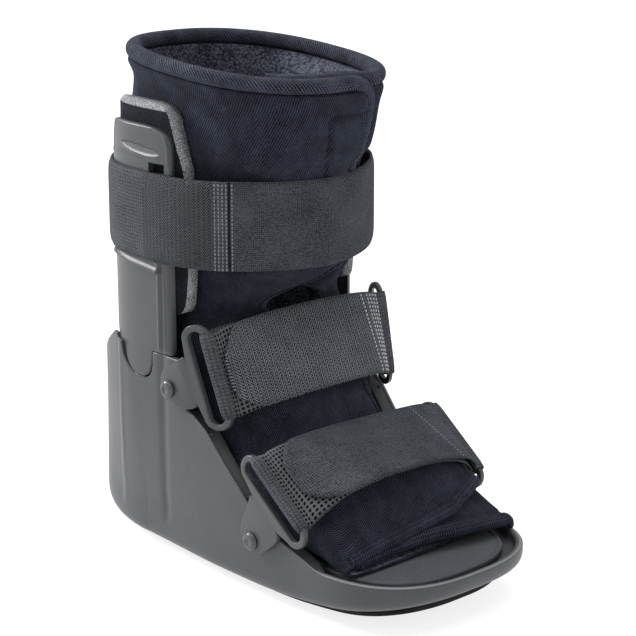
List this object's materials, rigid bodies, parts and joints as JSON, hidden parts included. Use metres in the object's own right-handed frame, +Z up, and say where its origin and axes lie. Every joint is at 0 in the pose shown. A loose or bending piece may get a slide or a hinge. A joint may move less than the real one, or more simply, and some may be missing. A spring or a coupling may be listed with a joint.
{
  "type": "medical walking boot",
  "caption": "Short fixed-ankle walking boot: moulded rocker shell, side uprights, padded wrap liner, wide calf strap and folded instep straps through slotted rings.",
  "frame": {"origin": "centre of the boot's outline on the floor plane", "axes": "toe points to -Y, +Z is up, the wearer's right side is -X"},
  "size_m": [0.152, 0.292, 0.2932],
  "materials": {
    "plastic": "satin, fine grain",
    "rubber": "matt",
    "insole": "matt",
    "padding": "brushed twill",
    "foam": "open-cell foam, speckled",
    "webbing": "woven"
  },
  "bodies": {
    "root": {"tread": "rubber", "shell": "plastic", "footbed": "insole", "upright_right": "plastic", "upright_left": "plastic", "pad_right": "foam", "pad_left": "foam", "liner": "padding", "liner_binding": "padding", "calf_strap": "webbing", "ankle_ring_right": "plastic", "ankle_ring_left": "plastic", "ankle_rivet_right": "plastic", "ankle_rivet_left": "plastic", "toe_ring_right": "plastic", "toe_ring_left": "plastic", "toe_rivet_right": "plastic", "toe_rivet_left": "plastic", "ankle_strap": "webbing", "toe_strap": "webbing"}
  },
  "joints": []
}
